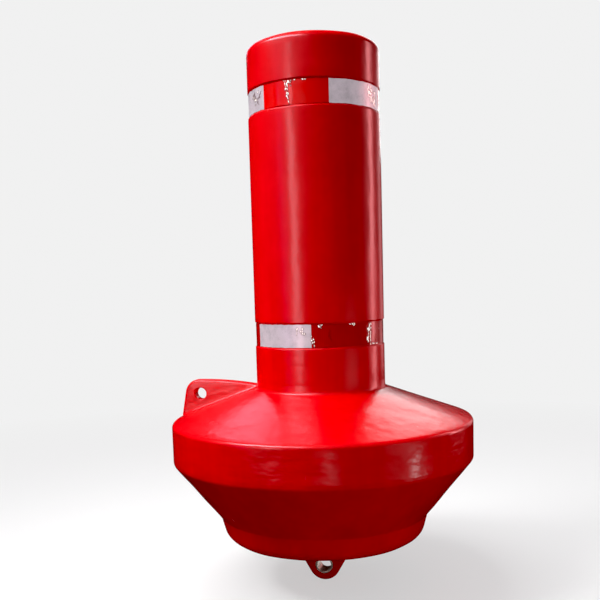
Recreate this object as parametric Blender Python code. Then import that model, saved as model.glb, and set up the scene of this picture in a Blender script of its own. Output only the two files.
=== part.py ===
"""Marine can buoy: a tower and float moulded in one piece with two lugs.

Metres, +Z up. The origin is the centre of the mooring eye. Both lugs lie in
the XZ plane, where the mould parts, and the lifting lug points to -X.
"""

import math

import bmesh
import bpy
from mathutils import Matrix, Vector

# Turned body, from the mooring eye upwards
EYE_DROP = 0.0765
BOWL_HEIGHT = 0.0565
BOWL_RADIUS = 0.230
WAIST_RADIUS = 0.245
CONE_HEIGHT = 0.1315
FLOAT_RADIUS = 0.350
SIDE_HEIGHT = 0.0885
DECK_RISE = 0.073
TOWER_RADIUS = 0.150
TOWER_HEIGHT = 0.767

# Roundings of the turned body
RIM_ROUND = 0.015
TOWER_ROOT_ROUND = 0.010
SHOULDER_ROUND = 0.010
SIDE_ROUND = 0.013
WAIST_ROUND = 0.012
BOWL_ROUND = 0.032

# Reflective tape and the two recesses that it lies in
TAPE_WIDTH = 0.050
TAPE_THICKNESS = 0.0005
TAPE_FIELD_LENGTH = 0.1525
TAPE_FIELDS = 6
LAP_LENGTH = 0.026
LAP_CLIMB_LENGTH = 0.010
RECESS_MARGIN = 0.001
RECESS_DEPTH = 0.003
RECESS_SLOPE_HEIGHT = 0.003
RECESS_ROUND = 0.0015
LOWER_TAPE_RISE = 0.1275
UPPER_TAPE_DROP = 0.125
UPPER_LAP_ANGLE = math.radians(257)
LOWER_LAP_ANGLE = math.radians(326)
UPPER_FIELD_ANGLE = math.radians(294.2)
LOWER_FIELD_ANGLE = math.radians(-21.7)

# Lifting lug, a fin along the deck
FIN_THICKNESS = 0.024
FIN_RIM_ROUND = 0.007
FIN_RISE = 0.017
FIN_CROWN_RADIUS = 0.84
FIN_CROWN_INSET = 0.061
FIN_FOOT_INSET = 0.004
FIN_RAKE = math.radians(10.6)
FIN_NOSE_ROUND = 0.035
FIN_ROOT_ROUND = 0.010
LIFT_EYE_RADIUS = 0.014
LIFT_EYE_INSET = 0.053
LIFT_EYE_DROP = 0.034
EYE_LIP_ROUND = 0.003

# Mooring lug, a flared plate under the float
LUG_THICKNESS = 0.040
LUG_RIM_ROUND = 0.008
LUG_TIP_RADIUS = 0.038
LUG_FLARE_ANGLE = math.radians(60)
LUG_FLARE_ROUND = 0.020
LUG_ROOT_ROUND = 0.010

# Steel bush in the mooring eye
BUSH_RADIUS = 0.021
BUSH_WALL = 0.004
BUSH_STAND_OUT = 0.0005
BUSH_CHAMFER = 0.001

# Filler plug in the top face
PLUG_RADIUS = 0.030
PLUG_DEPTH = 0.012
PLUG_STAND_OUT = 0.0015
PLUG_CHAMFER = 0.001
PLUG_OFFSET = 0.080
KEY_RADIUS = 0.011
KEY_DEPTH = 0.006

# Root fillets, which fade towards the ends of a lug
FADED_ROUND = 0.002
FADE_LENGTH = 0.030
FILLET_SINK = 0.0003
FILLET_EMBED = 0.004
FILLET_STEPS = 5
CORNER_STEPS = 4
CROWN_STEPS = 5
FILLET_STATION = 0.020

# Fits and facets
GAP = 0.0003
EMBED = 0.020
CLEAR_CUT = 0.005
SEGMENTS = 72
HOLE_SEGMENTS = 32
RIM_STEPS = 3
ARC_STEP = math.radians(18)
SMOOTH_ANGLE = math.radians(35)
MERGE = 0.00001

# Levels and slopes that follow from the sizes above
BOTTOM_Z = EYE_DROP
WAIST_Z = BOTTOM_Z + BOWL_HEIGHT
SIDE_Z = WAIST_Z + CONE_HEIGHT
SHOULDER_Z = SIDE_Z + SIDE_HEIGHT
DECK_Z = SHOULDER_Z + DECK_RISE
TOP_Z = DECK_Z + TOWER_HEIGHT
LOWER_TAPE_Z = DECK_Z + LOWER_TAPE_RISE
UPPER_TAPE_Z = TOP_Z - UPPER_TAPE_DROP
DECK_ANGLE = math.atan2(DECK_RISE, FLOAT_RADIUS - TOWER_RADIUS)
RECESS_RADIUS = TOWER_RADIUS - RECESS_DEPTH
FIN_TOP_Z = DECK_Z + FIN_RISE


def clear_scene():
    """Remove every object that the open file holds."""
    for obj in list(bpy.data.objects):
        bpy.data.objects.remove(obj, do_unlink=True)


def plain_material(name, colour, roughness, metallic=0.0):
    """Principled material of one colour."""
    material = bpy.data.materials.new(name)
    material.use_nodes = True
    shader = material.node_tree.nodes["Principled BSDF"]
    shader.inputs["Base Color"].default_value = (*colour, 1.0)
    shader.inputs["Roughness"].default_value = roughness
    shader.inputs["Metallic"].default_value = metallic
    material.diffuse_color = (*colour, 1.0)
    return material


def moulded_red():
    """Through-coloured red polyethylene of the body."""
    return plain_material("moulded_red", (0.62, 0.004, 0.008), 0.38)


def tape_red():
    """Red fields of the reflective tape."""
    return plain_material("tape_red", (0.45, 0.006, 0.010), 0.25)


def tape_white():
    """White fields of the reflective tape."""
    return plain_material("tape_white", (0.72, 0.68, 0.72), 0.25)


def bush_steel():
    """Bare stainless steel of the bush."""
    return plain_material("bush_steel", (0.56, 0.54, 0.52), 0.30, 1.0)


def plug_red():
    """Red polyethylene of the plug, a shade darker than the body."""
    return plain_material("plug_red", (0.52, 0.004, 0.007), 0.45)


def add_object(name, bm, materials=()):
    """Object made of the bmesh, faces outwards and round parts shaded smooth."""
    bmesh.ops.recalc_face_normals(bm, faces=bm.faces)
    mesh = bpy.data.meshes.new(name)
    bm.to_mesh(mesh)
    bm.free()
    for material in materials:
        mesh.materials.append(material)
    mesh.shade_smooth()
    mesh.set_sharp_from_angle(angle=SMOOTH_ANGLE)
    obj = bpy.data.objects.new(name, mesh)
    bpy.context.collection.objects.link(obj)
    return obj


def combine(body, tool, operation):
    """Join a hidden tool to the body, or cut it out, with a live Boolean."""
    tool.hide_render = True
    tool.display_type = "WIRE"
    modifier = body.modifiers.new(tool.name, "BOOLEAN")
    modifier.operation = operation
    modifier.solver = "EXACT"
    modifier.object = tool


def rounded(corners):
    """Open outline of (x, z, radius) corners, each turned into its arc.

    An arc touches both sides of its corner, at radius / tan(half angle) from it.
    """
    points = [Vector(corners[0][:2])]
    for before, corner, after in zip(corners, corners[1:], corners[2:]):
        tip = Vector(corner[:2])
        radius = corner[2]
        if radius == 0:
            points.append(tip)
            continue
        back = (Vector(before[:2]) - tip).normalized()
        ahead = (Vector(after[:2]) - tip).normalized()
        half = back.angle(ahead) / 2
        centre = tip + (back + ahead).normalized() * (radius / math.sin(half))
        spoke = tip + back * (radius / math.tan(half)) - centre
        turn = math.copysign(math.pi - 2 * half, -back.cross(ahead))
        steps = max(2, round(abs(turn) / ARC_STEP))
        for step in range(steps + 1):
            points.append(centre + Matrix.Rotation(turn * step / steps, 2) @ spoke)
    points.append(Vector(corners[-1][:2]))
    return points


def turned(outline, closed=False, segments=SEGMENTS):
    """Solid turned about Z from (radius, z) points."""
    bm = bmesh.new()
    verts = [bm.verts.new((radius, 0, z)) for radius, z in outline]
    followers = verts[1:] + verts[:1] if closed else verts[1:]
    edges = [bm.edges.new(pair) for pair in zip(verts, followers)]
    bmesh.ops.spin(bm, geom=verts + edges, cent=(0, 0, 0), axis=(0, 0, 1),
                   angle=math.tau, steps=segments)
    bmesh.ops.remove_doubles(bm, verts=bm.verts, dist=MERGE)
    return bm


def turned_across(outline, centre_x, centre_z, closed=False):
    """Solid turned about a line along Y through (centre_x, centre_z)."""
    bm = turned(outline, closed, HOLE_SEGMENTS)
    place = Matrix.Translation((centre_x, 0, centre_z)) @ Matrix.Rotation(math.pi / 2, 4, "X")
    bmesh.ops.transform(bm, matrix=place, verts=bm.verts)
    return bm


def plate(outline, thickness, rim_round):
    """Plate across the XZ plane from an (x, z) outline, its rim rounded off."""
    bm = bmesh.new()
    front = bm.faces.new([bm.verts.new((x, -thickness / 2, z)) for x, z in outline])
    grown = bmesh.ops.extrude_face_region(bm, geom=[front], use_keep_orig=True)
    back = [item for item in grown["geom"] if isinstance(item, bmesh.types.BMVert)]
    bmesh.ops.translate(bm, vec=(0, thickness, 0), verts=back)
    rim = [edge for edge in bm.edges if abs(edge.verts[0].co.y - edge.verts[1].co.y) < MERGE]
    bmesh.ops.bevel(bm, geom=rim, offset=rim_round, segments=RIM_STEPS, profile=0.5, affect="EDGES")
    return bm


def foot_path(x_low, x_high, half_thickness, corner):
    """Closed path round a plate's foot, as (point, outward normal) pairs.

    It is a rectangle with rounded corners, with stations along its long sides.
    """
    inner = half_thickness - corner
    low = x_low + corner
    high = x_high - corner
    centres = [Vector((high, inner)), Vector((low, inner)), Vector((low, -inner)), Vector((high, -inner))]
    stations = max(2, round((high - low) / FILLET_STATION))
    path = []
    for quarter, centre in enumerate(centres):
        for step in range(CORNER_STEPS + 1):
            angle = (quarter + step / CORNER_STEPS) * math.pi / 2
            normal = Vector((math.cos(angle), math.sin(angle)))
            path.append((centre + normal * corner, normal))
        if quarter % 2 == 0:
            for step in range(1, stations):
                along = centre.lerp(centres[quarter + 1], step / stations)
                path.append((along + normal * corner, normal))
    return path


def foot_fillet(path, level, up, full_round, end):
    """Ring of concave fillet round a plate's foot, sunk a hair into both walls.

    The section is a quarter arc between wall and ground. Its heights count from
    the ground under each point, so the ring follows a cone as well as a flat.
    The arc's radius is full_round, and fades as abs(x) comes near the end.
    """
    bm = bmesh.new()
    rings = []
    for point, normal in path:
        share = min(1.0, max(0.0, (end - abs(point.x)) / FADE_LENGTH))
        radius = FADED_ROUND + (full_round - FADED_ROUND) * share
        section = [(-FILLET_EMBED, -FILLET_EMBED), (-FILLET_EMBED, radius)]
        for step in range(FILLET_STEPS + 1):
            turn = math.pi / 2 * step / FILLET_STEPS
            section.append((radius * (1 - math.cos(turn)), radius * (1 - math.sin(turn))))
        section.append((radius, -FILLET_EMBED))
        ring = []
        for reach, height in section:
            spot = point + normal * (reach - FILLET_SINK)
            ring.append(bm.verts.new((*spot, level(spot.length) + up * (height - FILLET_SINK))))
        rings.append(ring)
    for ring, ahead in zip(rings, rings[1:] + rings[:1]):
        for index, vert in enumerate(ring):
            bm.faces.new((ring[index - 1], vert, ahead[index], ahead[index - 1]))
    return bm


def recess_corners(centre_z):
    """Corners of one tape recess, top to bottom."""
    half = TAPE_WIDTH / 2 + RECESS_MARGIN
    return [
        (TOWER_RADIUS, centre_z + half + RECESS_SLOPE_HEIGHT, RECESS_ROUND),
        (RECESS_RADIUS, centre_z + half, RECESS_ROUND),
        (RECESS_RADIUS, centre_z - half, RECESS_ROUND),
        (TOWER_RADIUS, centre_z - half - RECESS_SLOPE_HEIGHT, RECESS_ROUND),
    ]


def turned_body():
    """Tower, deck, float and bowl as one turned solid."""
    corners = [(0, TOP_Z, 0), (TOWER_RADIUS, TOP_Z, RIM_ROUND)]
    corners += recess_corners(UPPER_TAPE_Z)
    corners += recess_corners(LOWER_TAPE_Z)
    corners += [
        (TOWER_RADIUS, DECK_Z, TOWER_ROOT_ROUND),
        (FLOAT_RADIUS, SHOULDER_Z, SHOULDER_ROUND),
        (FLOAT_RADIUS, SIDE_Z, SIDE_ROUND),
        (WAIST_RADIUS, WAIST_Z, WAIST_ROUND),
        (BOWL_RADIUS, BOTTOM_Z, BOWL_ROUND),
        (0, BOTTOM_Z, 0),
    ]
    return turned(rounded(corners))


def deck_level(radius):
    """Height of the deck at a radius: its cone, then the arc of the shoulder."""
    slope = math.tan(DECK_ANGLE)
    centre = FLOAT_RADIUS - SHOULDER_ROUND
    if radius < centre + SHOULDER_ROUND * math.sin(DECK_ANGLE):
        return DECK_Z - (radius - TOWER_RADIUS) * slope
    centre_z = DECK_Z - (centre - TOWER_RADIUS) * slope - SHOULDER_ROUND / math.cos(DECK_ANGLE)
    reach = min(radius - centre, SHOULDER_ROUND)
    return centre_z + math.sqrt(SHOULDER_ROUND ** 2 - reach ** 2)


def bottom_level(radius):
    """Height of the float's bottom, which is flat, at any radius."""
    return BOTTOM_Z


def fin_outline():
    """Outline of the lifting lug: crowned top, round nose and raked outer edge."""
    foot = FLOAT_RADIUS - FIN_FOOT_INSET
    rake = math.tan(FIN_RAKE)
    nose = foot - (FIN_TOP_Z - SHOULDER_Z) * rake
    inside = TOWER_RADIUS - EMBED
    crown_end = FLOAT_RADIUS - FIN_CROWN_INSET
    outline = [Vector((-inside, SHOULDER_Z - EMBED))]
    for step in range(CROWN_STEPS + 1):
        reach = (crown_end - inside) * (1 - step / CROWN_STEPS)
        outline.append(Vector((reach - crown_end, FIN_TOP_Z - reach ** 2 / (2 * FIN_CROWN_RADIUS))))
    edge = [
        (-crown_end, FIN_TOP_Z, 0),
        (-nose, FIN_TOP_Z, FIN_NOSE_ROUND),
        (-foot - EMBED * rake, SHOULDER_Z - EMBED, 0),
    ]
    return outline + rounded(edge)[1:]


def lug_half_width(level):
    """Half width of the mooring lug's straight side edges at a height."""
    return (LUG_TIP_RADIUS + level * math.cos(LUG_FLARE_ANGLE)) / math.sin(LUG_FLARE_ANGLE)


def lug_outline():
    """Outline of the mooring lug: a round tip that flares into the float's bottom."""
    root = BOTTOM_Z + FILLET_SINK
    width = lug_half_width(root)
    end = width + LUG_FLARE_ROUND * math.tan(LUG_FLARE_ANGLE / 2)
    half = [(end, BOTTOM_Z + EMBED, 0), (end + FADED_ROUND, root, 0), (width, root, LUG_FLARE_ROUND)]
    tip = [(0, -LUG_TIP_RADIUS / math.cos(LUG_FLARE_ANGLE), LUG_TIP_RADIUS)]
    other = [(-x, z, radius) for x, z, radius in reversed(half)]
    return rounded(half + tip + other)


def eye_cutter(radius, thickness, centre_x, centre_z, lip):
    """Cutter of a plain moulded hole whose two mouths are rounded off."""
    half = thickness / 2
    mouth = radius + lip
    outline = [(0, half + CLEAR_CUT, 0), (mouth, half + CLEAR_CUT, 0), (mouth, half, 0)]
    outline += [(radius, half, lip), (radius, -half, lip)]
    outline += [(mouth, -half, 0), (mouth, -half - CLEAR_CUT, 0), (0, -half - CLEAR_CUT, 0)]
    return turned_across(rounded(outline), centre_x, centre_z)


def cylinder_outline(radius, low, high):
    """Outline of a plain cylinder, top to bottom."""
    return [(0, high), (radius, high), (radius, low), (0, low)]


def build_body(red):
    """The one moulded piece: turned body, both lugs and their holes."""
    body = add_object("buoy_body", turned_body(), [red])

    fin = add_object("fin_plate", plate(fin_outline(), FIN_THICKNESS, FIN_RIM_ROUND))
    fin_end = FLOAT_RADIUS - FIN_FOOT_INSET
    fin_path = foot_path(-fin_end, EMBED - TOWER_RADIUS, FIN_THICKNESS / 2, FIN_RIM_ROUND)
    fin_root = add_object("fin_root", foot_fillet(fin_path, deck_level, 1, FIN_ROOT_ROUND, fin_end))

    lug = add_object("lug_plate", plate(lug_outline(), LUG_THICKNESS, LUG_RIM_ROUND))
    lug_end = lug_half_width(BOTTOM_Z)
    lug_path = foot_path(-lug_end, lug_end, LUG_THICKNESS / 2, LUG_RIM_ROUND)
    lug_root = add_object("lug_root", foot_fillet(lug_path, bottom_level, -1, LUG_ROOT_ROUND, lug_end))

    eye_x = LIFT_EYE_INSET - FLOAT_RADIUS
    eye_z = FIN_TOP_Z - LIFT_EYE_DROP
    lift_eye = add_object("lift_eye", eye_cutter(LIFT_EYE_RADIUS, FIN_THICKNESS, eye_x, eye_z, EYE_LIP_ROUND))

    reach = LUG_THICKNESS / 2 + CLEAR_CUT
    bore = turned_across(cylinder_outline(BUSH_RADIUS + GAP, -reach, reach), 0, 0)
    mooring_bore = add_object("mooring_bore", bore)

    pocket = turned(cylinder_outline(PLUG_RADIUS + GAP, TOP_Z - PLUG_DEPTH - GAP, TOP_Z + CLEAR_CUT),
                    segments=HOLE_SEGMENTS)
    bmesh.ops.translate(pocket, vec=(PLUG_OFFSET, 0, 0), verts=pocket.verts)
    plug_pocket = add_object("plug_pocket", pocket)

    for tool in (fin, fin_root, lug, lug_root):
        combine(body, tool, "UNION")
    for tool in (lift_eye, mooring_bore, plug_pocket):
        combine(body, tool, "DIFFERENCE")
    return body


def build_bush(steel):
    """Steel tube moulded into the mooring lug, its ends a little proud."""
    half = LUG_THICKNESS / 2 + BUSH_STAND_OUT
    inner = BUSH_RADIUS - BUSH_WALL
    outline = [
        (BUSH_RADIUS - BUSH_CHAMFER, half), (BUSH_RADIUS, half - BUSH_CHAMFER),
        (BUSH_RADIUS, BUSH_CHAMFER - half), (BUSH_RADIUS - BUSH_CHAMFER, -half),
        (inner + BUSH_CHAMFER, -half), (inner, BUSH_CHAMFER - half),
        (inner, half - BUSH_CHAMFER), (inner + BUSH_CHAMFER, half),
    ]
    return add_object("mooring_bush", turned_across(outline, 0, 0, closed=True), [steel])


def build_plug(red):
    """Filler plug in its pocket, with a hexagon socket for the key."""
    outline = [
        (0, TOP_Z + PLUG_STAND_OUT), (PLUG_RADIUS - PLUG_CHAMFER, TOP_Z + PLUG_STAND_OUT),
        (PLUG_RADIUS, TOP_Z + PLUG_STAND_OUT - PLUG_CHAMFER), (PLUG_RADIUS, TOP_Z - PLUG_DEPTH),
        (0, TOP_Z - PLUG_DEPTH),
    ]
    bm = turned(outline, segments=HOLE_SEGMENTS)
    bmesh.ops.translate(bm, vec=(PLUG_OFFSET, 0, 0), verts=bm.verts)
    plug = add_object("filler_plug", bm, [red])
    socket = turned(cylinder_outline(KEY_RADIUS, TOP_Z + PLUG_STAND_OUT - KEY_DEPTH, TOP_Z + CLEAR_CUT),
                    segments=6)
    bmesh.ops.translate(socket, vec=(PLUG_OFFSET, 0, 0), verts=socket.verts)
    combine(plug, add_object("key_socket", socket), "DIFFERENCE")
    return plug


def tape_angles(lap_angle, field_angle):
    """Stations along a wound strip, and where its colour fields change.

    Stations lie at the turned body's own facets, at the ends, at both ends of
    the climb over the start, and at the joints between fields.
    """
    radius = RECESS_RADIUS + GAP
    end = lap_angle + math.tau
    start = lap_angle - LAP_LENGTH / radius
    climb = start + math.tau - LAP_CLIMB_LENGTH / radius
    facet = math.tau / SEGMENTS
    field = TAPE_FIELD_LENGTH / radius
    joints = [field_angle + field * index for index in range(-TAPE_FIELDS, 2 * TAPE_FIELDS)]
    facets = [facet * index for index in range(-SEGMENTS, 3 * SEGMENTS)]
    marks = facets + joints + [climb, start + math.tau]
    inside = sorted(mark for mark in marks if start + MERGE < mark < end - MERGE)
    angles = [start]
    for mark in inside:
        if mark - angles[-1] > facet / 10:
            angles.append(mark)
    return angles + [end], climb, start + math.tau


def build_tape(name, centre_z, lap_angle, field_angle, materials):
    """Reflective strip wound once round its recess, its end lapped over its start."""
    angles, climb, landing = tape_angles(lap_angle, field_angle)
    base = RECESS_RADIUS + GAP
    step_up = TAPE_THICKNESS + GAP
    field = TAPE_FIELD_LENGTH / base
    half = TAPE_WIDTH / 2
    bm = bmesh.new()
    rings = []
    for angle in angles:
        share = min(1.0, max(0.0, (angle - climb) / (landing - climb)))
        inner = base + step_up * share
        outer = inner + TAPE_THICKNESS
        section = [(inner, half), (outer, half), (outer, -half), (inner, -half)]
        across = Vector((math.cos(angle), math.sin(angle)))
        rings.append([bm.verts.new((*(across * radius), centre_z + z)) for radius, z in section])
    for index, (ring, ahead) in enumerate(zip(rings, rings[1:])):
        middle = (angles[index] + angles[index + 1]) / 2
        colour = min(TAPE_FIELDS - 1, int((middle - field_angle) % math.tau / field)) % 2
        for side in range(4):
            face = bm.faces.new((ring[side - 1], ring[side], ahead[side], ahead[side - 1]))
            face.material_index = colour
    bm.faces.new(rings[0])
    bm.faces.new(rings[-1])
    return add_object(name, bm, materials)


def main():
    clear_scene()
    build_body(moulded_red())
    build_bush(bush_steel())
    build_plug(plug_red())
    fields = [tape_white(), tape_red()]
    build_tape("upper_tape", UPPER_TAPE_Z, UPPER_LAP_ANGLE, UPPER_FIELD_ANGLE, fields)
    build_tape("lower_tape", LOWER_TAPE_Z, LOWER_LAP_ANGLE, LOWER_FIELD_ANGLE, fields)


main()
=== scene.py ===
"""Marine can buoy: one moulded body with two lugs, reflective tapes, bush and plug.

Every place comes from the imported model. Its origin is the mooring eye's centre,
+Z runs up the tower, and both lugs lie in the XZ plane.
"""

from math import cos, pi, radians, sin, tan, tau

import bmesh
import bpy
import numpy as np
from mathutils import Matrix, Quaternion, Vector


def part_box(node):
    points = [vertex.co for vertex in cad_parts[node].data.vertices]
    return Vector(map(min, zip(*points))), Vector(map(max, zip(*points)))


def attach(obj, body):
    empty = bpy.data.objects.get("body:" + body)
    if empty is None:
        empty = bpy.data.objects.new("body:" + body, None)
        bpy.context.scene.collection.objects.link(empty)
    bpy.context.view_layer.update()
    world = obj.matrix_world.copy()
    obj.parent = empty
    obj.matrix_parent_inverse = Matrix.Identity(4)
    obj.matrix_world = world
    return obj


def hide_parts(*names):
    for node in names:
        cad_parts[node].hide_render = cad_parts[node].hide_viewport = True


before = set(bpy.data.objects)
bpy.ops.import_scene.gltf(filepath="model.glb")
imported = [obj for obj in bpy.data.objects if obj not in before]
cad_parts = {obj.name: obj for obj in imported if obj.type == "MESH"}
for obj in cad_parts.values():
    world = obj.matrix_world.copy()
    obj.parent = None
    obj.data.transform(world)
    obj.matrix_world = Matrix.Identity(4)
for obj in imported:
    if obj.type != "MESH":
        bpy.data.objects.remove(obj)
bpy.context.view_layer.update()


# The moulded body. One shell of through-coloured red polyethylene, cast in a hot
# turning mould that opens along the XZ plane. Its skin is left as moulded: glossy,
# faintly rippled, and sunk a little where the wall cooled last.
BODY_LOW, BODY_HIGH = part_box("buoy_body")
TOP_Z = BODY_HIGH.z
FLOAT_RADIUS = BODY_HIGH.x
TOWER_RADIUS = 0.150
BOTTOM_Z = 0.0765
WAIST_Z = 0.133
SIDE_Z = 0.2645
SHOULDER_Z = 0.353
DECK_Z = 0.426
WAIST_RADIUS = 0.245
BOWL_RADIUS = 0.230
RIM_ROUND = 0.015
TOWER_ROOT_ROUND = 0.010
SHOULDER_ROUND = 0.010
SIDE_ROUND = 0.013
WAIST_ROUND = 0.012
BOWL_ROUND = 0.032
RECESS_DEPTH = 0.003
RECESS_MARGIN = 0.001
RECESS_LIP_ROUND = 0.0020
RECESS_FOOT_ROUND = 0.0015
RECESS_RADIUS = TOWER_RADIUS - RECESS_DEPTH
UPPER_TAPE_Z = TOP_Z - 0.125
LOWER_TAPE_Z = DECK_Z + 0.1275
TAPE_WIDTH = 0.050
DECK_SLOPE = (DECK_Z - SHOULDER_Z) / (FLOAT_RADIUS - TOWER_RADIUS)
OUTLINE_STEP = 0.010
TURN_STATIONS = 240
STREAK_DEPTH = 0.00028
SINK_DEPTH = 0.00050
SIDE_WAVE_DEPTH = 0.00045


def rounded_outline(corners, step, arc_step=radians(8)):
    """Outline through (radius, z, rounding) corners, as an array of points.

    Each rounding is the arc that touches both sides of its corner. Straights are
    cut into even steps, and arcs into even angles.
    """
    runs = []
    last = np.array(corners[0][:2])
    for before, corner, after in zip(corners, corners[1:], corners[2:]):
        tip = np.array(corner[:2])
        back = np.array(before[:2]) - tip
        ahead = np.array(after[:2]) - tip
        back = back / np.linalg.norm(back)
        ahead = ahead / np.linalg.norm(ahead)
        half = np.arccos(back @ ahead) / 2
        rounding = corner[2]
        centre = tip + (back + ahead) / np.linalg.norm(back + ahead) * rounding / sin(half)
        start = tip + back * rounding / tan(half)
        turn = -np.sign(back[0] * ahead[1] - back[1] * ahead[0]) * (pi - 2 * half)
        angles = np.linspace(0, turn, max(3, int(abs(turn) / arc_step) + 2))
        spoke = start - centre
        arc = centre + np.stack([np.cos(angles) * spoke[0] - np.sin(angles) * spoke[1],
                                 np.sin(angles) * spoke[0] + np.cos(angles) * spoke[1]], 1)
        count = max(2, int(np.linalg.norm(start - last) / step) + 1)
        runs.append(last + (start - last) * np.linspace(0, 1, count)[:-1, None])
        runs.append(arc[:-1])
        last = arc[-1]
    end = np.array(corners[-1][:2])
    count = max(2, int(np.linalg.norm(end - last) / step) + 1)
    runs.append(last + (end - last) * np.linspace(0, 1, count)[:, None])
    return np.concatenate(runs)


def slow_waves(across, up, count, across_cycles, up_cycles, seed):
    """Sum of sine waves over a closed way round and a height, mostly between -1 and 1.

    value = sum of sin(n * across + m * up + phase) / (1.6 * square root of count),
    with whole numbers n, so that the surface joins up with itself, and m in waves
    for each metre of height. Where many crests or troughs meet it goes past 1 or -1.
    """
    rng = np.random.default_rng(seed)
    total = np.zeros(np.broadcast(across, up).shape)
    for _ in range(count):
        around = rng.integers(across_cycles[0], across_cycles[1] + 1) * rng.choice((-1, 1))
        rise = rng.uniform(*up_cycles) * tau
        total += np.sin(around * across + rise * up + rng.uniform(0, tau))
    return total / np.sqrt(count) / 1.6


def tape_recess(centre_z):
    """Corners of one shallow recess for the tape, top to bottom."""
    half = TAPE_WIDTH / 2 + RECESS_MARGIN
    slope = TOWER_RADIUS - RECESS_RADIUS
    return [(TOWER_RADIUS, centre_z + half + slope, RECESS_LIP_ROUND),
            (RECESS_RADIUS, centre_z + half, RECESS_FOOT_ROUND),
            (RECESS_RADIUS, centre_z - half, RECESS_FOOT_ROUND),
            (TOWER_RADIUS, centre_z - half - slope, RECESS_LIP_ROUND)]


def turned_skin():
    """Grid of points over the turned body, with the ripple of its moulded skin.

    point = outline(s) turned through an angle, moved along the outline's normal by
    slow waves: broad sinks on the float, closer ones on its side, long soft streaks
    on the tower. They fade out at the axis and near the plane of the lugs.
    """
    corners = [(0, TOP_Z, 0), (TOWER_RADIUS, TOP_Z, RIM_ROUND)]
    corners += tape_recess(UPPER_TAPE_Z) + tape_recess(LOWER_TAPE_Z)
    corners += [(TOWER_RADIUS, DECK_Z, TOWER_ROOT_ROUND), (FLOAT_RADIUS, SHOULDER_Z, SHOULDER_ROUND),
                (FLOAT_RADIUS, SIDE_Z, SIDE_ROUND), (WAIST_RADIUS, WAIST_Z, WAIST_ROUND),
                (BOWL_RADIUS, BOTTOM_Z, BOWL_ROUND), (0, BOTTOM_Z, 0)]
    outline = rounded_outline(corners, OUTLINE_STEP)
    along = np.gradient(outline, axis=0)
    along /= np.linalg.norm(along, axis=1)[:, None]
    normal = np.stack([-along[:, 1], along[:, 0]], 1)
    angle = np.linspace(0, tau, TURN_STATIONS, endpoint=False)[None, :]
    radius = outline[:, 0][:, None]
    height = outline[:, 1][:, None]
    on_float = np.clip((DECK_Z + 0.004 - height) / 0.03, 0, 1)
    on_side = np.exp(-((height - (SHOULDER_Z + SIDE_Z) / 2) / 0.045) ** 4)
    away_from_axis = np.clip((radius - 0.01) / 0.10, 0, 1)
    wave = STREAK_DEPTH * slow_waves(angle, height, 10, (2, 7), (0.3, 3.0), 11) * (1 - on_float)
    wave = wave + SINK_DEPTH * slow_waves(angle, height + radius, 14, (3, 14), (2, 9), 12) * on_float
    wave = wave + SIDE_WAVE_DEPTH * slow_waves(angle, height, 10, (9, 26), (3, 12), 13) * on_side
    beside_lugs = np.abs(radius * np.sin(angle))
    wave = wave * away_from_axis * np.clip((beside_lugs - 0.022) / 0.03, 0, 1)
    radius = radius + normal[:, 0][:, None] * wave
    height = height + normal[:, 1][:, None] * wave
    return np.stack([radius * np.cos(angle), radius * np.sin(angle), height + 0 * angle], -1)


def grid_shell(points, closed_down):
    """Vertices and quads of a grid of points that is closed across its columns.

    Where it is closed down its rows too, it is a ring. Otherwise its first and
    last rows are poles, each of one point many times over.
    """
    rows, columns = points.shape[:2]
    index = np.arange(rows * columns).reshape(rows, columns)
    right = np.roll(index, -1, axis=1)
    below = np.roll(index, -1, axis=0)
    corner = np.roll(right, -1, axis=0)
    quads = np.stack([index, below, corner, right], -1)
    if not closed_down:
        quads = quads[:-1]
    return points.reshape(-1, 3), quads.reshape(-1, 4)


def finished_piece(name, mesh, sharp_from, merge=False):
    """Object of a mesh: faces turned outwards, and smooth but for its sharp edges."""
    work = bmesh.new()
    work.from_mesh(mesh)
    if merge:
        bmesh.ops.remove_doubles(work, verts=work.verts, dist=1e-6)
    bmesh.ops.recalc_face_normals(work, faces=work.faces)
    work.to_mesh(mesh)
    work.free()
    mesh.shade_smooth()
    mesh.set_sharp_from_angle(angle=sharp_from)
    piece = bpy.data.objects.new(name, mesh)
    bpy.context.collection.objects.link(piece)
    return piece


def moulded_mesh(name, shells):
    """One piece of closed shells, with the many points of each pole merged."""
    offset = 0
    points, quads = [], []
    for shell_points, shell_quads in shells:
        points.append(shell_points)
        quads.append(shell_quads + offset)
        offset += len(shell_points)
    mesh = bpy.data.meshes.new(name)
    mesh.from_pydata(np.concatenate(points), [], np.concatenate(quads).tolist())
    return finished_piece(name, mesh, radians(38), merge=True)


def deck_height(radius):
    """Height of the deck at a radius: its cone, then the arc of the shoulder."""
    lean = np.arctan(DECK_SLOPE)
    centre = FLOAT_RADIUS - SHOULDER_ROUND
    centre_z = DECK_Z - (centre - TOWER_RADIUS) * DECK_SLOPE - SHOULDER_ROUND / np.cos(lean)
    reach = np.clip(radius - centre, 0, SHOULDER_ROUND)
    arc = centre_z + np.sqrt(np.maximum(SHOULDER_ROUND ** 2 - reach ** 2, 0))
    cone = DECK_Z - (radius - TOWER_RADIUS) * DECK_SLOPE
    return np.where(radius < centre + SHOULDER_ROUND * np.sin(lean), cone, arc)


def above_deck(x, y, z):
    """How far a point stands above the deck."""
    return z - deck_height(np.hypot(x, y))


def below_float(x, y, z):
    """How far a point hangs below the float's flat bottom."""
    return BOTTOM_Z - z + 0 * x * y


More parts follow.
